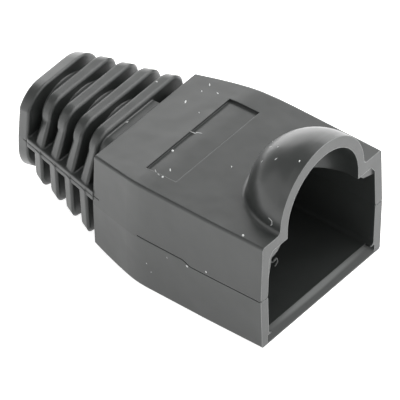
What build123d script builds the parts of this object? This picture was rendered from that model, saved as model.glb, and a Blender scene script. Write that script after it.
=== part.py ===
from build123d import *
from collections import namedtuple
import math
import os

# Strain relief boot for an eight-way modular plug: one moulding in soft grey PVC.
# A square hood slips over the back of the plug, a half-round bubble on its top guards the latch,
# and a ribbed, slotted tail grips the cable and lets it bend.
# Millimetres. The boot is drawn with its mouth at Y = 0 and its tail toward +Y, on its flat underside.

# Hood, measured at the parting line, where the two mould halves leave it widest
HOOD_WIDTH = 13.9
HOOD_HEIGHT = 9.05
HOOD_LENGTH = 15.65
PARTING_HEIGHT = 4.4
DRAFT = 2.5
SIDE_WALL = 0.8
TOP_WALL = 0.9
FLOOR = 0.8
TOP_EDGE_RADIUS = 0.2
BOTTOM_EDGE_RADIUS = 0.15

# Plan of the hood. Its left side runs straight, then very slightly narrower, its right side swells a
# little all the way, and both then taper in to the tail. Each bend takes up its run on both sides.
STRAIGHT_LENGTH = 5.0
TAPER_START = 11.2
NARROWING = 0.12
NARROWING_BEND_RUN = 0.35
RIGHT_SWELL = 0.22
REAR_WIDTH = 11.7
LEFT_TAPER_BEND_RUN = 0.95
RIGHT_TAPER_BEND_RUN = 3.6

# Side view of the hood: the top dips and the belly rises toward the tail
TOP_DIP_START = 10.9
TOP_DIP = 0.45
TOP_DIP_BEND_RADIUS = 12.0
BELLY_START = 10.4
BELLY_RISE = 0.65

# Room for the plug, from the mouth back to where the hood closes down to the cable
CAVITY_DEPTH = 14.0
CAVITY_CORNER_RADIUS = 0.35
SILL_DEPTH = 0.55
SILL_LIP = 0.1
SILL_NOTCH = 0.15

# Bubble over the latch
BUBBLE_RADIUS = 4.8
BUBBLE_WALL = 0.76
BUBBLE_COLLAR = 0.6
BUBBLE_BLEND_RADIUS = 0.35
BUBBLE_CORE_SHIFT = 0.08
BUBBLE_CORE_DROP = 0.22

# Gussets that fill the upper corners of the mouth, just behind its face
GUSSET_INSET = 0.3
GUSSET_DROP = 0.55
GUSSET_FALL = 0.38
GUSSET_SETBACK = 0.15
GUSSET_THICKNESS = 0.8

# Corner of the mouth's own face, cut off between its ceiling and its sides
CORNER_ACROSS = 0.55
CORNER_DOWN = 0.7

# Sliver of flash down the left side of the mouth, from the gusset to the parting line
SLIVER_WIDTH = 0.62
SLIVER_THICKNESS = 0.25

# Shallow label recess across the top
RECESS_WIDTH = 9.5
RECESS_LENGTH = 2.65
RECESS_REAR = 11.8
RECESS_DEPTH = 0.2

# Tail: ribs and an end collar, with a gap before each
RIB_COUNT = 4
RIB_THICKNESS = 0.97
RIB_GAP = 0.68
COLLAR_THICKNESS = 1.09

# Round core through the tail, bored for the cable
CABLE_DIAMETER = 5.0
CABLE_CLEARANCE = 0.1
CORE_WALL = 0.75
BORE_HEIGHT = 4.9

# Slots through the gaps leave a bridge above and below and a web along each side, just inside the
# widest line of the ribs
BRIDGE_WIDTH = 4.4
WEB_HEIGHT = 5.12
WEB_THICKNESS = 0.75
WEB_SET_IN = 0.04

# The gap next to the hood is filled over the top to this depth under the ribs, from the left side
# to a little past the middle
ROOT_BRIDGE_DROP = 0.42
ROOT_BRIDGE_END = 1.75

# Parting line: low beside the mouth, stepping up along the hood, and level with the webs on the tail
PARTING_LOW = 4.3
PARTING_HIGH = 4.58
PARTING_STEP_START = 6.2
PARTING_STEP_LENGTH = 0.7
PARTING_FADE = 11.0
PARTING_RETURN = 15.0
GROOVE_WIDTH = 0.09
GROOVE_DEPTH = 0.07

# Outline of a rib beside the hood, measured down from the hood's top and across the whole rib.
# Its crown leans toward +X.
ROOT_TOP_DROP = 0.08
ROOT_SHOULDER_DROP = 1.3
ROOT_TOP_WIDTH = 7.4
ROOT_SHOULDER_WIDTH = 10.3
ROOT_WEB_WIDTH = 11.86
ROOT_FOOT_WIDTH = 11.2
ROOT_BOTTOM = 0.75
ROOT_CORNER_RADIUS = 0.6
ROOT_LEAN = 0.42

# Outline of a rib beside the collar
NECK_TOP_DROP = 0.2
NECK_SHOULDER_DROP = 1.9
NECK_TOP_WIDTH = 4.2
NECK_SHOULDER_WIDTH = 6.9
NECK_WEB_WIDTH = 8.36
NECK_FOOT_WIDTH = 8.0
NECK_BOTTOM = 1.88
NECK_CORNER_RADIUS = 1.35
NECK_LEAN = 0.2

# Outline of the collar at the end of the tail, and its growth toward the ribs
END_TOP_DROP = 0.27
END_SHOULDER_DROP = 1.63
END_TOP_WIDTH = 3.0
END_SHOULDER_WIDTH = 7.38
END_WEB_WIDTH = 7.78
END_FOOT_WIDTH = 7.9
END_BOTTOM = 1.15
END_CORNER_RADIUS = 2.75
COLLAR_GROWTH = 0.19
COLLAR_BELLY_RISE = 0.35

# The crease under a rib's shoulder falls this much from its hood side to its tail side
RIB_CREASE_FALL = 0.36

# Edges of the ribs and the collar are broken all round, this far in from each side
RIB_EDGE = 0.16
COLLAR_EDGE = 0.12

# Room given to a cutter past the face that it cuts through, and to a test for a face's edges
OVERCUT = 2.0
TOUCH = 0.01

TAIL_LENGTH = RIB_COUNT * RIB_THICKNESS + (RIB_COUNT + 1) * RIB_GAP + COLLAR_THICKNESS
LENGTH = HOOD_LENGTH + TAIL_LENGTH
COLLAR_START = LENGTH - COLLAR_THICKNESS
BORE_RADIUS = CABLE_DIAMETER / 2 + CABLE_CLEARANCE
CORE_RADIUS = BORE_RADIUS + CORE_WALL

# Outline of the tail at one station: half widths across X and heights along Z
Station = namedtuple("Station", "y top top_half crease crease_half web_half foot_half bottom corner lean")

ROOT = Station(
    y=HOOD_LENGTH,
    top=HOOD_HEIGHT - ROOT_TOP_DROP,
    top_half=ROOT_TOP_WIDTH / 2,
    crease=HOOD_HEIGHT - ROOT_SHOULDER_DROP,
    crease_half=ROOT_SHOULDER_WIDTH / 2,
    web_half=ROOT_WEB_WIDTH / 2,
    foot_half=ROOT_FOOT_WIDTH / 2,
    bottom=ROOT_BOTTOM,
    corner=ROOT_CORNER_RADIUS,
    lean=ROOT_LEAN,
)
NECK = Station(
    y=COLLAR_START,
    top=HOOD_HEIGHT - NECK_TOP_DROP,
    top_half=NECK_TOP_WIDTH / 2,
    crease=HOOD_HEIGHT - NECK_SHOULDER_DROP,
    crease_half=NECK_SHOULDER_WIDTH / 2,
    web_half=NECK_WEB_WIDTH / 2,
    foot_half=NECK_FOOT_WIDTH / 2,
    bottom=NECK_BOTTOM,
    corner=NECK_CORNER_RADIUS,
    lean=NECK_LEAN,
)
END = Station(
    y=LENGTH,
    top=HOOD_HEIGHT - END_TOP_DROP,
    top_half=END_TOP_WIDTH / 2,
    crease=HOOD_HEIGHT - END_SHOULDER_DROP,
    crease_half=END_SHOULDER_WIDTH / 2,
    web_half=END_WEB_WIDTH / 2,
    foot_half=END_FOOT_WIDTH / 2,
    bottom=END_BOTTOM,
    corner=END_CORNER_RADIUS,
    lean=0,
)


def bend_radius(before, bend, after, run):
    """Radius of a bend that takes up the given run of the line before it and after it."""
    heading = math.atan2(bend[0] - before[0], bend[1] - before[1])
    next_heading = math.atan2(after[0] - bend[0], after[1] - bend[1])
    return run / math.tan(abs(next_heading - heading) / 2)


def plan_side(inset, swell, bends, runs):
    """One side of the hood's plan, drawn on +X, through the given bends and on past the hood's end."""
    waist, taper_start = bends[-1]
    rear = REAR_WIDTH / 2 + swell
    slope = (waist - rear) / (HOOD_LENGTH - taper_start)
    points = [(HOOD_WIDTH / 2, -OVERCUT), *bends, (rear - slope * OVERCUT, HOOD_LENGTH + OVERCUT)]
    radii = [bend_radius(*points[index : index + 3], run) for index, run in enumerate(runs)]
    return FilletPolyline(*[(x - inset, y) for x, y in points], radius=radii)


def hood_plan(inset=0.0):
    """Plan of the hood on the XY plane, drawn in by a wall thickness, running past both ends."""
    half = HOOD_WIDTH / 2
    swelling = [(half + RIGHT_SWELL, TAPER_START)]
    narrowing = [(half, STRAIGHT_LENGTH), (half - NARROWING, TAPER_START)]
    right = plan_side(inset, RIGHT_SWELL, swelling, [RIGHT_TAPER_BEND_RUN])
    left = mirror(plan_side(inset, 0, narrowing, [NARROWING_BEND_RUN, LEFT_TAPER_BEND_RUN]), Plane.YZ)
    front = Line(left @ 0, right @ 0)
    back = Line(right @ 1, left @ 1)
    return make_face([*right.edges(), *back.edges(), *left.edges(), *front.edges()])


def hood_side(top_wall=0.0, floor=0.0, front=0.0, back=HOOD_LENGTH):
    """Side view of the hood between two Y stations, drawn in by the top wall and the floor."""
    top = HOOD_HEIGHT - top_wall
    dip_slope = TOP_DIP / (HOOD_LENGTH - TOP_DIP_START)
    dip_end = HOOD_LENGTH + OVERCUT
    top_line = FilletPolyline(
        (-OVERCUT, top),
        (TOP_DIP_START, top),
        (dip_end, top - dip_slope * (dip_end - TOP_DIP_START)),
        radius=TOP_DIP_BEND_RADIUS,
    )
    belly_run = HOOD_LENGTH - BELLY_START
    belly_radius = (belly_run**2 + BELLY_RISE**2) / (2 * BELLY_RISE)
    belly_arc = math.degrees(math.asin((belly_run + OVERCUT) / belly_radius))
    flat = Line((-OVERCUT, floor), (BELLY_START, floor))
    belly = CenterArc((BELLY_START, floor + belly_radius), belly_radius, -90, belly_arc)
    rear = Line(belly @ 1, top_line @ 1)
    mouth = Line((-OVERCUT, floor), (-OVERCUT, top))
    outline = make_face([*flat.edges(), *belly.edges(), *rear.edges(), *top_line.edges(), *mouth.edges()])
    window = Pos((front + back) / 2, HOOD_HEIGHT / 2) * Rectangle(back - front, HOOD_HEIGHT * 2)
    return outline & window


def drafted_block(inset, side):
    """Solid on the hood's plan, drafted both ways from the parting line, trimmed to the side view."""
    sections = []
    for height in (-OVERCUT, PARTING_HEIGHT, HOOD_HEIGHT + OVERCUT):
        draft = math.tan(math.radians(DRAFT)) * abs(height - PARTING_HEIGHT)
        sections.append(Pos(0, 0, height) * hood_plan(inset + draft))
    slab = extrude(Plane.YZ * side, HOOD_WIDTH, both=True)
    return loft(sections, ruled=True) & slab


def long_edges(block, low, high):
    """Edges that run along the block's flanks between two heights."""
    return [
        edge
        for edge in block.edges()
        if low - TOUCH < edge.center().Z < high + TOUCH and edge.bounding_box().size.Y > TOUCH
    ]


def hood_shell():
    """Outside of the hood as a solid block with softened top and bottom edges."""
    block = drafted_block(0, hood_side())
    block = fillet(long_edges(block, HOOD_HEIGHT - TOP_DIP, HOOD_HEIGHT), TOP_EDGE_RADIUS)
    return fillet(long_edges(block, 0, BELLY_RISE), BOTTOM_EDGE_RADIUS)


def plug_cavity():
    """Room for the plug: the hood's own form drawn in by the walls, ending short of the tail."""
    side = hood_side(TOP_WALL, FLOOR, -OVERCUT, CAVITY_DEPTH)
    block = drafted_block(SIDE_WALL, side)
    return fillet(long_edges(block, FLOOR, FLOOR + BELLY_RISE), CAVITY_CORNER_RADIUS)


def sill_chamfer():
    """Lead-in that thins the front edge of the floor to a lip and notches the side walls."""
    inner_half = HOOD_WIDTH / 2 - SIDE_WALL
    wedge = Polyline((0, SILL_LIP), (SILL_DEPTH, FLOOR), (0, FLOOR), close=True)
    half = inner_half + SILL_NOTCH - math.tan(math.radians(DRAFT)) * (PARTING_HEIGHT - FLOOR)
    return extrude(Plane.YZ * make_face(wedge), half, both=True)


def bullet_plan(radius, front):
    """Half plan of the latch bubble: straight from the front, then a quarter circle to the middle."""
    back = BUBBLE_COLLAR + radius
    side = Line((radius, front), (radius, BUBBLE_COLLAR))
    nose = CenterArc((0, BUBBLE_COLLAR), radius, 0, 90)
    middle = Line((0, back), (0, front))
    base = Line((0, front), (radius, front))
    return make_face([*side.edges(), *nose.edges(), *middle.edges(), *base.edges()])


def bullet(radius, front):
    """Round bar along Y at the height of the hood's top, with a round back end and its seam below."""
    return Pos(0, 0, HOOD_HEIGHT) * Rot(0, 90, 0) * revolve(bullet_plan(radius, front), Axis.Y)


def latch_space():
    """Space for the latch, open at the mouth and straight down into the plug's room."""
    radius = BUBBLE_RADIUS - BUBBLE_WALL
    half_plan = bullet_plan(radius, -OVERCUT)
    plan = half_plan + mirror(half_plan, Plane.YZ)
    throat = extrude(Pos(0, 0, HOOD_HEIGHT - TOP_WALL - OVERCUT) * plan, TOP_WALL + OVERCUT)
    return Pos(BUBBLE_CORE_SHIFT, 0, -BUBBLE_CORE_DROP) * (bullet(radius, -OVERCUT) + throat)


def web_in_mouth(points, setback, thickness):
    """Flat web across a corner of the mouth, from X and Z points."""
    outline = make_face(Polyline(*points, close=True))
    return extrude(Plane.XZ.offset(-setback) * outline, -thickness)


def mouth_corners():
    """Cut corner of the mouth's face and, behind it, the gusset in each upper corner."""
    wall = HOOD_WIDTH / 2 - SIDE_WALL
    root = wall + SIDE_WALL / 2
    ceiling = HOOD_HEIGHT - TOP_WALL
    crown = ceiling + TOP_WALL / 2
    foot = BUBBLE_RADIUS - BUBBLE_WALL + GUSSET_INSET
    corner = [(wall - CORNER_ACROSS, crown), (wall - CORNER_ACROSS, ceiling), (wall, ceiling - CORNER_DOWN)]
    corner += [(root, ceiling - CORNER_DOWN), (root, crown)]
    gusset = [(foot, crown), (foot, ceiling), (foot + GUSSET_DROP, ceiling - GUSSET_DROP)]
    gusset += [(wall, ceiling - GUSSET_DROP - GUSSET_FALL), (root, ceiling - GUSSET_DROP - GUSSET_FALL)]
    gusset += [(root, crown)]
    right = web_in_mouth(corner, 0, GUSSET_SETBACK + GUSSET_THICKNESS)
    right = right + web_in_mouth(gusset, GUSSET_SETBACK, GUSSET_THICKNESS)
    return right + mirror(right, Plane.YZ)


def flash_sliver():
    """Thin sliver on the left wall of the mouth that runs out at the parting line."""
    wall = HOOD_WIDTH / 2 - SIDE_WALL
    root = wall + SIDE_WALL / 2
    top = HOOD_HEIGHT - TOP_WALL - GUSSET_DROP
    points = [(-root, top), (SLIVER_WIDTH - wall, top), (-wall, PARTING_HEIGHT), (-root, PARTING_HEIGHT)]
    return web_in_mouth(points, GUSSET_SETBACK, SLIVER_THICKNESS)


def label_recess():
    """Shallow pocket across the top, its floor following the surface."""
    floor = drafted_block(0, hood_side(RECESS_DEPTH))
    middle = Pos(0, RECESS_REAR - RECESS_LENGTH / 2, HOOD_HEIGHT)
    return middle * Box(RECESS_WIDTH, RECESS_LENGTH, OVERCUT) - floor


def blend(start, end, y):
    """Station between two others, at the given Y."""
    share = (y - start.y) / (end.y - start.y)
    return Station(*[a + (b - a) * share for a, b in zip(start, end)])


def half_outline(station, lean):
    """Right half of a rib's outline: flat top, round shoulder down to a crease, a side that spreads
    to the parting line, and a round bottom corner."""
    top_line = Line((0, station.top), (station.top_half + lean, station.top))
    crease = (station.crease_half + lean, station.crease)
    shoulder = TangentArc(top_line @ 1, crease, tangent=(1, 0))
    upper_side = Line(crease, (station.web_half, WEB_HEIGHT))
    lower_side = FilletPolyline(
        (station.web_half, WEB_HEIGHT),
        (station.foot_half, station.bottom),
        (0, station.bottom),
        radius=station.corner,
    )
    return [*top_line.edges(), *shoulder.edges(), *upper_side.edges(), *lower_side.edges()]


def station_face(station):
    """Outline of a rib or of the collar at its station, with a crown that leans toward +X."""
    right = half_outline(station, station.lean)
    left = [mirror(edge, Plane.YZ) for edge in half_outline(station, -station.lean)]
    return Plane.XZ.offset(-station.y) * make_face([*right, *left])


def drawn_in(station, edge, y):
    """The station's outline, drawn in by an edge break all round and moved to the given Y."""
    return station._replace(
        y=y,
        top=station.top - edge,
        crease_half=station.crease_half - edge,
        web_half=station.web_half - edge,
        foot_half=station.foot_half - edge,
        bottom=station.bottom + edge,
    )


def broken_edges(front, back, edge):
    """Solid between two stations with the edges of both ends broken."""
    sections = [
        drawn_in(front, edge, front.y),
        front._replace(y=front.y + edge),
        back._replace(y=back.y - edge),
        drawn_in(back, edge, back.y),
    ]
    return loft([station_face(section) for section in sections], ruled=True)


def rib(index):
    """One rib, counted from the hood."""
    start = HOOD_LENGTH + RIB_GAP + index * (RIB_THICKNESS + RIB_GAP)
    hood_side_of_rib = blend(ROOT, NECK, start)
    tail_side_of_rib = blend(ROOT, NECK, start + RIB_THICKNESS)
    raised = hood_side_of_rib._replace(crease=hood_side_of_rib.crease + RIB_CREASE_FALL / 2)
    lowered = tail_side_of_rib._replace(crease=tail_side_of_rib.crease - RIB_CREASE_FALL / 2)
    return broken_edges(raised, lowered, RIB_EDGE)


def collar():
    """End collar, a little larger toward the ribs."""
    root = END._replace(
        y=COLLAR_START,
        top=END.top + COLLAR_GROWTH,
        top_half=END.top_half + COLLAR_GROWTH,
        crease=END.crease + COLLAR_GROWTH,
        crease_half=END.crease_half + COLLAR_GROWTH,
        web_half=END.web_half + COLLAR_GROWTH,
        bottom=END.bottom + COLLAR_BELLY_RISE,
    )
    return broken_edges(root, END, COLLAR_EDGE)


def along_tail(radius, start, end):
    """Round bar along the cable's line between two Y stations."""
    return Pos(0, (start + end) / 2, BORE_HEIGHT) * Rot(90, 0, 0) * Cylinder(radius, end - start)


def slots():
    """Windows through the core in every gap, beside the bridges, above and below the side webs."""
    reach = HOOD_WIDTH - BRIDGE_WIDTH
    top = HOOD_HEIGHT + OVERCUT
    web_top = WEB_HEIGHT + WEB_THICKNESS / 2
    web_bottom = WEB_HEIGHT - WEB_THICKNESS / 2
    upper = Box(reach, RIB_GAP, top - web_top, align=(Align.MIN, Align.MIN, Align.MAX))
    lower = Box(reach, RIB_GAP, web_bottom + OVERCUT, align=(Align.MIN, Align.MIN, Align.MIN))
    right = [Pos(BRIDGE_WIDTH / 2, 0, top) * upper, Pos(BRIDGE_WIDTH / 2, 0, -OVERCUT) * lower]
    left = [mirror(cutter, Plane.YZ) for cutter in right]
    pitch = RIB_THICKNESS + RIB_GAP
    return [
        Pos(0, HOOD_LENGTH + index * pitch, 0) * cutter
        for index in range(RIB_COUNT + 1)
        for cutter in [*right, *left]
    ]


def narrowing_plan(start_half, start, end_half, end):
    """Plan with straight flanks between two Y stations."""
    corners = [(start_half, start), (end_half, end), (-end_half, end), (-start_half, start)]
    return make_face(Polyline(*corners, close=True))


def side_webs():
    """Webs along both sides that tie the ribs together at the parting line."""
    plan = narrowing_plan(ROOT.web_half - WEB_SET_IN, ROOT.y, NECK.web_half - WEB_SET_IN, NECK.y)
    return extrude(Pos(0, 0, WEB_HEIGHT) * plan, WEB_THICKNESS / 2, both=True)


def root_bridge():
    """Fill over the top of the gap next to the hood, rooted one gap deep in the hood and open
    toward +X."""
    sunk = ROOT._replace(
        top=ROOT.top - ROOT_BRIDGE_DROP,
        crease=ROOT.crease - ROOT_BRIDGE_DROP,
        crease_half=ROOT.crease_half - ROOT_BRIDGE_DROP,
    )
    block = extrude(station_face(sunk), RIB_GAP, both=True)
    return block & Pos(ROOT_BRIDGE_END, ROOT.y, ROOT.crease) * Box(
        HOOD_WIDTH, RIB_GAP * 2, HOOD_HEIGHT, align=(Align.MAX, Align.CENTER, Align.MIN)
    )


def tail_plan(inset):
    """Plan of the ribs and of the collar at the parting line, drawn in by an inset."""
    collar_half = END.web_half - inset
    ribs = narrowing_plan(ROOT.web_half - inset, ROOT.y, NECK.web_half - inset, NECK.y)
    return ribs + narrowing_plan(collar_half + COLLAR_GROWTH, NECK.y, collar_half, END.y + OVERCUT)


def parting_groove():
    """Fine groove along the parting line, across the mouth's sides, the hood and the tail."""
    on_hood = Polyline(
        (-OVERCUT, PARTING_LOW),
        (PARTING_STEP_START, PARTING_LOW),
        (PARTING_STEP_START + PARTING_STEP_LENGTH, PARTING_HIGH),
        (PARTING_FADE, PARTING_HIGH),
    )
    on_tail = Line((PARTING_RETURN, WEB_HEIGHT), (LENGTH, WEB_HEIGHT))
    band = trace(on_hood.edges(), GROOVE_WIDTH) + trace(on_tail.edges(), GROOVE_WIDTH)
    slab = extrude(Plane.YZ * band, HOOD_WIDTH, both=True)
    behind_mouth = Pos(0, GROOVE_DEPTH, 0) * Rectangle(
        HOOD_WIDTH, HOOD_LENGTH - GROOVE_DEPTH, align=(Align.CENTER, Align.MIN)
    )
    kept = (hood_plan(GROOVE_DEPTH) & behind_mouth) + tail_plan(GROOVE_DEPTH)
    return slab - extrude(kept, HOOD_HEIGHT)


def tail():
    """Core, webs, ribs and collar, rooted one gap deep in the hood and in the collar."""
    body = along_tail(CORE_RADIUS, HOOD_LENGTH - RIB_GAP, COLLAR_START + RIB_GAP) + side_webs()
    for cutter in slots():
        body = body - cutter
    for index in range(RIB_COUNT):
        body = body + rib(index)
    return body + root_bridge() + collar()


def bubble_foot(boot):
    """Edges where the bubble meets the top of the hood."""
    found = []
    for edge in boot.edges():
        box = edge.bounding_box()
        on_top = abs(box.min.Z - HOOD_HEIGHT) < TOUCH and abs(box.max.Z - HOOD_HEIGHT) < TOUCH
        beside = max(abs(box.min.X), abs(box.max.X)) < BUBBLE_RADIUS + TOUCH
        behind = box.max.Y < BUBBLE_COLLAR + BUBBLE_RADIUS + TOUCH
        if on_top and beside and behind and box.size.Y > TOUCH:
            found.append(edge)
    return found


def strain_relief_boot():
    """The whole moulding, with its mouth at Y = 0."""
    boot = hood_shell() + bullet(BUBBLE_RADIUS, 0)
    boot = fillet(bubble_foot(boot), BUBBLE_BLEND_RADIUS)
    boot = boot + tail()
    boot = boot - plug_cavity() - latch_space() - sill_chamfer() - label_recess()
    boot = boot - along_tail(BORE_RADIUS, CAVITY_DEPTH - OVERCUT, LENGTH + OVERCUT)
    return boot + mouth_corners() + flash_sliver() - parting_groove()


if __name__ == "__main__":
    os.makedirs("parts", exist_ok=True)
    boot = Pos(0, -LENGTH / 2, 0) * strain_relief_boot()
    export_step(boot, "parts/strain_relief_boot.step")
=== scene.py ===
import math

import bmesh
import bpy
from mathutils import Matrix, Vector


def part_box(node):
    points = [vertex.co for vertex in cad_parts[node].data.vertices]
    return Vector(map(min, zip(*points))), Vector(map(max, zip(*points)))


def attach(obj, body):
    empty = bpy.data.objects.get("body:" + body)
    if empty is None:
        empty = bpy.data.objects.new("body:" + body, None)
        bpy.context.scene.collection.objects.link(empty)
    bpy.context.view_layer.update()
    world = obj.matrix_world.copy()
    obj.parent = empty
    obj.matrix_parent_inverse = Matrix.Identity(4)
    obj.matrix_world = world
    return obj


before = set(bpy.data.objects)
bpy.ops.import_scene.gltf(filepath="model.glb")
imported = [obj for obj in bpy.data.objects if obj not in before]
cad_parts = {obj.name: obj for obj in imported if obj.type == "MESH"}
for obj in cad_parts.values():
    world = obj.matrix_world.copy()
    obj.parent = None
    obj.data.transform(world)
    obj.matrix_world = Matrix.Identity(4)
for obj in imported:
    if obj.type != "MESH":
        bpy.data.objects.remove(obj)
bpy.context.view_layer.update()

MM = 0.001

# The photograph's view: bearing and height of the camera about the boot, in degrees, and the point
# it aims at.
FRAME_PIXELS = 400
SENSOR_WIDTH = 36.0
PIXELS_PER_MM = 14.3
CAMERA_BEARING = -52.11
CAMERA_ELEVATION = 40.37
CAMERA_DISTANCE = 600 * MM
AIM_ACROSS = -1.035 * MM
AIM_FROM_MOUTH = 9.927 * MM
AIM_HEIGHT = 4.5 * MM

# Crumbs of torn flash that cling to the boot: place, length, width and turn, in millimetres and degrees.
# Those on top are placed by X and the distance from the mouth, those on the left side by the distance
# from the mouth and the height. The side's crumbs are pressed flat, so they stay within the boot's width.
TOP_CRUMBS = [
    (3.1, 17.0, 0.18, 0.13, 0),
    (5.3, 14.0, 0.32, 0.08, -52),
    (4.4, 14.0, 0.2, 0.07, -52),
    (4.8, 12.9, 0.22, 0.09, -20),
    (2.8, 14.2, 0.36, 0.12, -65),
    (2.3, 12.6, 0.16, 0.06, -40),
    (-1.3, 16.2, 0.22, 0.08, 50),
    (-2.0, 11.6, 0.24, 0.18, -52),
    (-3.8, 10.4, 0.32, 0.09, -52),
    (-4.9, 10.2, 0.2, 0.15, -65),
    (-1.1, 7.1, 0.2, 0.08, -52),
    (2.8, 6.5, 0.12, 0.07, -52),
    (-2.2, 3.6, 0.2, 0.05, 25),
    (-1.0, 3.8, 0.24, 0.11, 0),
    (-1.2, 3.0, 0.14, 0.06, 0),
    (-2.2, 2.4, 0.24, 0.07, 0),
    (-1.9, 0.6, 0.18, 0.1, 20),
    (-6.4, 2.0, 0.24, 0.17, -52),
]
SIDE_CRUMBS = [
    (8.3, 4.0, 0.1, 0.06, 30),
    (10.2, 2.4, 0.11, 0.07, 70),
    (9.8, 1.8, 0.1, 0.06, 0),
    (6.5, 4.2, 0.2, 0.15, 60),
    (4.8, 4.6, 0.16, 0.12, 20),
]
TOP_HAIRS = [
    [(0.25, 11.8), (0.42, 11.5), (0.58, 11.45), (0.7, 11.1)],
    [(-4.4, 11.25), (-4.65, 10.95), (-4.85, 10.65), (-4.9, 10.5)],
]
SIDE_HAIRS = [[(1.1, 9.95), (0.8, 9.85), (0.75, 9.6), (0.85, 9.45)]]
TOP_CRUMB_THICKNESS = 0.07
SIDE_CRUMB_THICKNESS = 0.01
HAIR_WIDTH = 0.05
HAIR_SIDES = 6
CAST_HEIGHT = 30.0

# Curly end of the sliver in the mouth, torn loose: X, distance behind the mouth, height and width,
# in millimetres.
TORN_SLIVER = [
    (-5.7, 0.3, 7.25, 0.05),
    (-5.45, 0.2, 6.9, 0.12),
    (-5.3, 0.15, 7.0, 0.16),
    (-5.1, 0.12, 7.1, 0.13),
    (-4.96, 0.12, 6.88, 0.05),
    (-4.92, 0.13, 6.66, 0.1),
    (-5.04, 0.15, 6.52, 0.12),
    (-5.17, 0.18, 6.36, 0.08),
]

# Light table, a hair below the boot so that the two never share a face, and the softboxes round it:
# bearing and height in degrees, power in watts.
FLOOR_SIZE = 4.0
FLOOR_SINK = 0.02 * MM
FLOOR_GLOW = 0.7
TENT_GLOW = 0.4
SOFTBOX_SIZE = 160 * MM
SOFTBOX_DISTANCE = 180 * MM
SOFTBOXES = {
    "right_softbox": (80, 50, 0.3),
    "backdrop_softbox": (135, 15, 0.2),
    "front_softbox": (15, 50, 0.15),
    "left_softbox": (-90, 50, 0.08),
    "tail_softbox": (-135, 15, 0.08),
    "camera_softbox": (-45, 15, 0.05),
    "mouth_softbox": (45, 15, 0.05),
}

# Grain of the steel tool, printed into the soft plastic, slower mottling of its surface, marks of
# handling, mottling of the torn pieces, and the shallow waves that the plastic sinks into as it cools:
# the width of one feature in millimetres, and its height. A tool's grain is usually finer than a
# pixel of the photograph, so it is drawn as coarse as it needs to show.
TOOL_GRAIN = 0.09
GRAIN_HEIGHT = 0.001 * MM
FLOW_MOTTLE = 2.6
HANDLING_MARKS = 0.8
STRETCH_MOTTLE = 0.2
SINK_WAVE = 1.8
SINK_HEIGHT = 0.035 * MM

# Part of a noise's range that the skin's colour and gloss run over, the skin's roughness where it is
# plain and where it is marked, and its index of refraction.
NOISE_LOW = 0.3
NOISE_HIGH = 0.7
SATIN_ROUGHNESS = 0.3
MARKED_ROUGHNESS = 0.33
PVC_IOR = 1.53

# Roughness of the matt pieces beside the skin.
CRUMB_ROUGHNESS = 0.7
SLIVER_ROUGHNESS = 0.6
OPAL_ROUGHNESS = 0.9

# Radius to which the mould and the softness of the plastic round every sharp edge, on the hood and
# on the ribs, the two places along Y between which it goes from one to the other, and how many
# samples find each edge.
EDGE_SOFTNESS = 0.07 * MM
RIB_SOFTNESS = 0.24 * MM
HOOD_END = 3.6 * MM
RIBS_START = 4.4 * MM
EDGE_SAMPLES = 8

# Painted highlight on the sharp edges of the mouth, except in the parting groove: how far the highlight
# reaches, the groove's height and half width, and the cosines of an edge's turn at which the highlight
# starts and is full.
EDGE_HIGHLIGHT_WIDTH = 0.1 * MM
PARTING_HEIGHT = 4.4 * MM
GROOVE_BAND = 0.12 * MM
HIGHLIGHT_START = 0.995
HIGHLIGHT_FULL = 0.9

# Painted highlight along the sill, a paler patch where its inner edge catches light: its centre and reach
# in X, distance behind the mouth and height, in millimetres, and the shares of that reach where it ends and
# is full.
SILL_HIGHLIGHT_END = 0.95
SILL_HIGHLIGHT_FULL = 0.3
SILL_HIGHLIGHT_CENTRE = (0, 0.42, 0.62)
SILL_HIGHLIGHT_REACH = (7.0, 0.3, 0.36)


def linear(hex_colour):
    """Linear colour, with alpha, of an sRGB hex value such as #6a6c6b."""
    parts = [int(hex_colour[i:i + 2], 16) / 255 for i in (1, 3, 5)]
    return tuple(c / 12.92 if c <= 0.04045 else ((c + 0.055) / 1.055) ** 2.4 for c in parts) + (1.0,)


def add_node(tree, kind, settings=None, **links):
    """Adds a node. Settings go to its attributes; links are socket=output or socket=value, where a
    socket goes by its name, with _ for a space, or by in and its number."""
    node = tree.nodes.new(kind)
    for name, value in (settings or {}).items():
        setattr(node, name, value)
    for name, value in links.items():
        key = int(name[2:]) if name.startswith("in") else name.replace("_", " ")
        socket = node.inputs[key]
        if isinstance(value, bpy.types.NodeSocket):
            tree.links.new(value, socket)
        else:
            socket.default_value = value
    return node


def frequency(size_mm):
    """Texture scale, in object space in metres, at which one feature is this many millimetres wide."""
    return 1 / (size_mm * MM)


def mouth_y():
    """Y of the mouth, in metres."""
    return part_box("strain_relief_boot")[0].y


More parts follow.
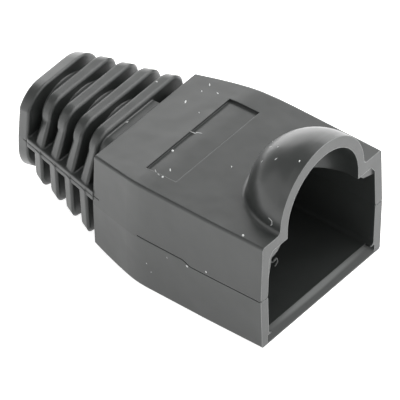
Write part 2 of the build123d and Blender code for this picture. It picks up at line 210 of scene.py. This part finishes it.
def edge_highlight_share(tree, spot):
    """How far each point gets the painted highlight, from 0 to 1: only on the sharp edges of the mouth."""
    flat = add_node(tree, "ShaderNodeNewGeometry")
    rolled = add_node(tree, "ShaderNodeBevel", {"samples": EDGE_SAMPLES}, Radius=EDGE_HIGHLIGHT_WIDTH)
    turn = add_node(
        tree,
        "ShaderNodeVectorMath",
        {"operation": "DOT_PRODUCT"},
        in0=rolled.outputs["Normal"],
        in1=flat.outputs["Normal"],
    )
    at_mouth = add_node(
        tree,
        "ShaderNodeMath",
        {"operation": "COMPARE"},
        in0=spot.outputs["Y"],
        in1=mouth_y(),
        in2=EDGE_HIGHLIGHT_WIDTH,
    )
    in_groove = add_node(
        tree,
        "ShaderNodeMath",
        {"operation": "COMPARE"},
        in0=spot.outputs["Z"],
        in1=PARTING_HEIGHT,
        in2=GROOVE_BAND,
    )
    open_to_highlight = add_node(
        tree,
        "ShaderNodeMath",
        {"operation": "SUBTRACT"},
        in0=at_mouth.outputs["Value"],
        in1=in_groove.outputs["Value"],
    )
    highlighted = add_node(
        tree,
        "ShaderNodeMapRange",
        Value=turn.outputs["Value"],
        From_Min=HIGHLIGHT_START,
        From_Max=HIGHLIGHT_FULL,
        To_Min=0.0,
        To_Max=open_to_highlight.outputs["Value"],
    )
    return highlighted.outputs["Result"]


def sill_highlight_share(tree, place):
    """How far each point gets the painted sill highlight, from 0 to 1: a soft-edged patch along the sill.
    """
    centre = Vector(SILL_HIGHLIGHT_CENTRE) * MM + Vector((0, mouth_y(), 0))
    offset = add_node(tree, "ShaderNodeVectorMath", {"operation": "SUBTRACT"}, in0=place, in1=centre)
    share = add_node(
        tree,
        "ShaderNodeVectorMath",
        {"operation": "DIVIDE"},
        in0=offset.outputs["Vector"],
        in1=Vector(SILL_HIGHLIGHT_REACH) * MM,
    )
    reach = add_node(tree, "ShaderNodeVectorMath", {"operation": "LENGTH"}, in0=share.outputs["Vector"])
    sill_highlighted = add_node(
        tree,
        "ShaderNodeMapRange",
        {"interpolation_type": "SMOOTHSTEP"},
        Value=reach.outputs["Value"],
        From_Min=SILL_HIGHLIGHT_END,
        From_Max=SILL_HIGHLIGHT_FULL,
        To_Min=0.0,
        To_Max=1.0,
    )
    return sill_highlighted.outputs["Result"]


def skin_colour(tree, place, spot):
    """Slowly mottled grey, with painted highlights on the mouth's sharp edges and along the sill."""
    mottle = add_node(
        tree, "ShaderNodeTexNoise", Vector=place, Scale=frequency(FLOW_MOTTLE), Detail=4.0, Roughness=0.6
    )
    grey = add_node(tree, "ShaderNodeValToRGB", Fac=mottle.outputs["Fac"])
    dark, light = grey.color_ramp.elements
    dark.position = NOISE_LOW
    dark.color = linear("#272928")
    light.position = NOISE_HIGH
    light.color = linear("#2c2e2d")
    # Painted highlight: the mouth's sharp edges are lightened toward pale grey.
    highlighted = add_node(
        tree,
        "ShaderNodeMix",
        {"data_type": "RGBA"},
        in0=edge_highlight_share(tree, spot),
        in6=grey.outputs["Color"],
        in7=linear("#6e706f"),
    )
    # Painted highlight: a paler patch along the sill's inner edge.
    sill_highlighted = add_node(
        tree,
        "ShaderNodeMix",
        {"data_type": "RGBA"},
        in0=sill_highlight_share(tree, place),
        in6=highlighted.outputs[2],
        in7=linear("#505251"),
    )
    return sill_highlighted.outputs[2]


def skin_gloss(tree, place):
    """Satin roughness, a little duller in the marks that hands leave."""
    marks = add_node(
        tree, "ShaderNodeTexNoise", Vector=place, Scale=frequency(HANDLING_MARKS), Detail=4.0, Roughness=0.6
    )
    gloss = add_node(
        tree,
        "ShaderNodeMapRange",
        Value=marks.outputs["Fac"],
        From_Min=NOISE_LOW,
        From_Max=NOISE_HIGH,
        To_Min=SATIN_ROUGHNESS,
        To_Max=MARKED_ROUGHNESS,
    )
    return gloss.outputs["Result"]


def skin_relief(tree, place, spot):
    """Normals of the softened edges, with the sink waves and the tool's grain over them."""
    grain = add_node(
        tree, "ShaderNodeTexNoise", Vector=place, Scale=frequency(TOOL_GRAIN), Detail=2.0, Roughness=0.5
    )
    waves = add_node(
        tree, "ShaderNodeTexNoise", Vector=place, Scale=frequency(SINK_WAVE), Detail=1.0, Roughness=0.4
    )
    softness = add_node(
        tree,
        "ShaderNodeMapRange",
        Value=spot.outputs["Y"],
        From_Min=HOOD_END,
        From_Max=RIBS_START,
        To_Min=EDGE_SOFTNESS,
        To_Max=RIB_SOFTNESS,
    )
    edges = add_node(
        tree, "ShaderNodeBevel", {"samples": EDGE_SAMPLES}, Radius=softness.outputs["Result"]
    )
    fine = add_node(
        tree, "ShaderNodeMath", {"operation": "MULTIPLY"}, in0=grain.outputs["Fac"], in1=GRAIN_HEIGHT
    )
    height = add_node(
        tree,
        "ShaderNodeMath",
        {"operation": "MULTIPLY_ADD"},
        in0=waves.outputs["Fac"],
        in1=SINK_HEIGHT,
        in2=fine.outputs["Value"],
    )
    relief = add_node(
        tree,
        "ShaderNodeBump",
        Height=height.outputs["Value"],
        Strength=1.0,
        Distance=1.0,
        Normal=edges.outputs["Normal"],
    )
    return relief.outputs["Normal"]


def moulded_satin_pvc():
    """Soft grey PVC as it leaves a lightly eroded steel tool: an even satin skin whose fine grain
    breaks up reflections, slow mottling where the plastic flowed, and painted highlights on the mouth's
    sharp edges and along the sill."""
    material = bpy.data.materials.new("moulded_satin_pvc")
    material.use_nodes = True
    tree = material.node_tree
    tree.nodes.clear()
    place = add_node(tree, "ShaderNodeTexCoord").outputs["Object"]
    spot = add_node(tree, "ShaderNodeSeparateXYZ", Vector=place)
    shader = add_node(
        tree,
        "ShaderNodeBsdfPrincipled",
        Base_Color=skin_colour(tree, place, spot),
        Roughness=skin_gloss(tree, place),
        Normal=skin_relief(tree, place, spot),
        IOR=PVC_IOR,
    )
    add_node(tree, "ShaderNodeOutputMaterial", Surface=shader.outputs["BSDF"])
    return material


def lit_opal_acrylic():
    """Opal acrylic sheet of a light table: glows evenly from below, so that it shows hardly any shadow."""
    material = bpy.data.materials.new("lit_opal_acrylic")
    material.use_nodes = True
    shader = material.node_tree.nodes["Principled BSDF"]
    shader.inputs["Base Color"].default_value = linear("#f4f4f4")
    shader.inputs["Roughness"].default_value = OPAL_ROUGHNESS
    shader.inputs["Emission Color"].default_value = linear("#ffffff")
    shader.inputs["Emission Strength"].default_value = FLOOR_GLOW
    return material


def dress_boot():
    """Gives the moulding its skin."""
    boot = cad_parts["strain_relief_boot"]
    boot.data.materials.clear()
    boot.data.materials.append(moulded_satin_pvc())


def stress_whitened_pvc():
    """Torn flash of the same plastic, whitened unevenly where it was stretched: pale, matt specks
    that are a little darker wherever the grey plastic still shows."""
    material = bpy.data.materials.new("torn_stress_whitened_pvc")
    material.use_nodes = True
    tree = material.node_tree
    place = add_node(tree, "ShaderNodeTexCoord").outputs["Object"]
    mottle = add_node(tree, "ShaderNodeTexNoise", Vector=place, Scale=frequency(STRETCH_MOTTLE))
    colour = add_node(tree, "ShaderNodeValToRGB", Fac=mottle.outputs["Fac"])
    colour.color_ramp.elements[0].color = linear("#a4a6a5")
    colour.color_ramp.elements[1].color = linear("#cacccb")
    shader = tree.nodes["Principled BSDF"]
    tree.links.new(colour.outputs["Color"], shader.inputs["Base Color"])
    shader.inputs["Roughness"].default_value = CRUMB_ROUGHNESS
    return material


def stretched_pvc():
    """Torn end of the sliver, stretched thin: dull, a little paler than the moulding and uneven."""
    material = bpy.data.materials.new("torn_stretched_pvc")
    material.use_nodes = True
    tree = material.node_tree
    place = add_node(tree, "ShaderNodeTexCoord").outputs["Object"]
    mottle = add_node(tree, "ShaderNodeTexNoise", Vector=place, Scale=frequency(STRETCH_MOTTLE))
    colour = add_node(tree, "ShaderNodeValToRGB", Fac=mottle.outputs["Fac"])
    colour.color_ramp.elements[0].color = linear("#2c2e2d")
    colour.color_ramp.elements[1].color = linear("#3a3c3b")
    shader = tree.nodes["Principled BSDF"]
    tree.links.new(colour.outputs["Color"], shader.inputs["Base Color"])
    shader.inputs["Roughness"].default_value = SLIVER_ROUGHNESS
    return material


def spot_on(boot, across, along, from_top):
    """Point on the boot's skin, and its normal, under a place seen from above or from the left."""
    mouth = mouth_y() / MM
    if from_top:
        start, down = (across, along + mouth, CAST_HEIGHT), (0, 0, -1)
    else:
        start, down = (-CAST_HEIGHT, across + mouth, along), (1, 0, 0)
    hit, point, normal, _ = boot.ray_cast(Vector(start) * MM, Vector(down))
    if not hit:
        raise ValueError(f"no skin under {across}, {along}")
    return point, normal


def add_crumb(mesh, point, normal, length, width, turn, thickness):
    """Flat rounded chip, half sunk in the skin."""
    flat = normal.to_track_quat("Z", "Y").to_matrix().to_4x4()
    lie = flat @ Matrix.Rotation(math.radians(turn), 4, "Z")
    shape = Matrix.Diagonal((width / 2, length / 2, thickness / 2, 1 / MM)) * MM
    place = Matrix.Translation(point) @ lie @ shape
    bmesh.ops.create_icosphere(mesh, subdivisions=2, radius=1, matrix=place)


def add_hair(mesh, points, widths):
    """Fine thread through points, each with its normal and width, closed at both ends."""
    rings = []
    for index, ((point, normal), width) in enumerate(zip(points, widths)):
        ahead = points[min(index + 1, len(points) - 1)][0] - points[max(index - 1, 0)][0]
        across = ahead.normalized().cross(normal)
        ring = []
        for step in range(HAIR_SIDES):
            angle = math.tau * step / HAIR_SIDES
            reach = across * math.cos(angle) + normal * math.sin(angle)
            ring.append(mesh.verts.new(point + reach * width / 2 * MM))
        rings.append(ring)
    for ring, following in zip(rings, rings[1:]):
        for step in range(HAIR_SIDES):
            after = (step + 1) % HAIR_SIDES
            mesh.faces.new((ring[step], ring[after], following[after], following[step]))
    mesh.faces.new(rings[0][::-1])
    mesh.faces.new(rings[-1])


def keep_on_boot(name, mesh, material):
    """Makes the mesh a piece of soft PVC that rides on the boot."""
    bmesh.ops.recalc_face_normals(mesh, faces=mesh.faces)
    data = bpy.data.meshes.new(name)
    mesh.to_mesh(data)
    mesh.free()
    data.materials.append(material)
    piece = bpy.data.objects.new(name, data)
    bpy.context.scene.collection.objects.link(piece)
    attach(piece, "root")


def scatter_flash():
    """Lays the crumbs and hairs on the top and the left side, as one piece."""
    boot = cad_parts["strain_relief_boot"]
    mesh = bmesh.new()
    for from_top, thickness, crumbs, hairs in (
        (True, TOP_CRUMB_THICKNESS, TOP_CRUMBS, TOP_HAIRS),
        (False, SIDE_CRUMB_THICKNESS, SIDE_CRUMBS, SIDE_HAIRS),
    ):
        for across, along, *size in crumbs:
            add_crumb(mesh, *spot_on(boot, across, along, from_top), *size, thickness)
        for hair in hairs:
            spots = [spot_on(boot, across, along, from_top) for across, along in hair]
            add_hair(mesh, spots, [HAIR_WIDTH] * len(spots))
    keep_on_boot("flash_crumbs", mesh, stress_whitened_pvc())


def tear_sliver():
    """Curls the torn end of the sliver in the mouth."""
    mouth = Vector((0, mouth_y(), 0))
    outward = Vector((0, -1, 0))
    mesh = bmesh.new()
    points = [(Vector(place) * MM + mouth, outward) for *place, _ in TORN_SLIVER]
    add_hair(mesh, points, [width for *_, width in TORN_SLIVER])
    keep_on_boot("torn_sliver_end", mesh, stretched_pvc())


def lay_floor():
    """Lays the light table under the boot."""
    half = FLOOR_SIZE / 2
    mesh = bpy.data.meshes.new("studio_floor")
    corners = [(-half, -half, 0), (half, -half, 0), (half, half, 0), (-half, half, 0)]
    mesh.from_pydata(corners, [], [(0, 1, 2, 3)])
    floor = bpy.data.objects.new("studio_floor", mesh)
    floor.location.z = -FLOOR_SINK
    floor.data.materials.append(lit_opal_acrylic())
    bpy.context.scene.collection.objects.link(floor)


def direction(bearing, elevation):
    """Unit vector toward a bearing and a height in degrees: bearing 0 is in front of the mouth, and
    90 is to the right of it, along +X."""
    round_boot, up = math.radians(bearing), math.radians(elevation)
    ahead = -math.cos(round_boot) * math.cos(up)
    return Vector((math.sin(round_boot) * math.cos(up), ahead, math.sin(up)))


def aim(obj, target):
    """Turns a lamp or camera to face a point."""
    obj.rotation_euler = (target - obj.location).to_track_quat("-Z", "Y").to_euler()


def hang_softbox(name, bearing, elevation, power):
    """Square softbox on a sphere about the boot, facing it."""
    lamp = bpy.data.lights.new(name, "AREA")
    lamp.shape = "SQUARE"
    lamp.size = SOFTBOX_SIZE
    lamp.energy = power
    box = bpy.data.objects.new(name, lamp)
    box.location = direction(bearing, elevation) * SOFTBOX_DISTANCE
    aim(box, Vector((0, 0, AIM_HEIGHT)))
    bpy.context.scene.collection.objects.link(box)


def light_studio():
    """Glowing white tent with the softboxes in it."""
    tent = bpy.data.worlds.new("light_tent")
    tent.use_nodes = True
    air = tent.node_tree.nodes["Background"]
    air.inputs["Color"].default_value = linear("#ffffff")
    air.inputs["Strength"].default_value = TENT_GLOW
    bpy.context.scene.world = tent
    for name, place_and_power in SOFTBOXES.items():
        hang_softbox(name, *place_and_power)


def place_camera():
    """Sets the camera to the view that was fitted to the photograph."""
    data = bpy.data.cameras.new("photo_camera")
    data.sensor_width = SENSOR_WIDTH
    data.lens = PIXELS_PER_MM * (CAMERA_DISTANCE / MM) * SENSOR_WIDTH / FRAME_PIXELS
    camera = bpy.data.objects.new("photo_camera", data)
    target = Vector((AIM_ACROSS, mouth_y() + AIM_FROM_MOUTH, AIM_HEIGHT))
    camera.location = target + direction(CAMERA_BEARING, CAMERA_ELEVATION) * CAMERA_DISTANCE
    aim(camera, target)
    bpy.context.scene.collection.objects.link(camera)
    bpy.context.scene.camera = camera


bpy.context.scene.view_settings.view_transform = "Standard"
place_camera()
lay_floor()
light_studio()
dress_boot()
tear_sliver()
scatter_flash()
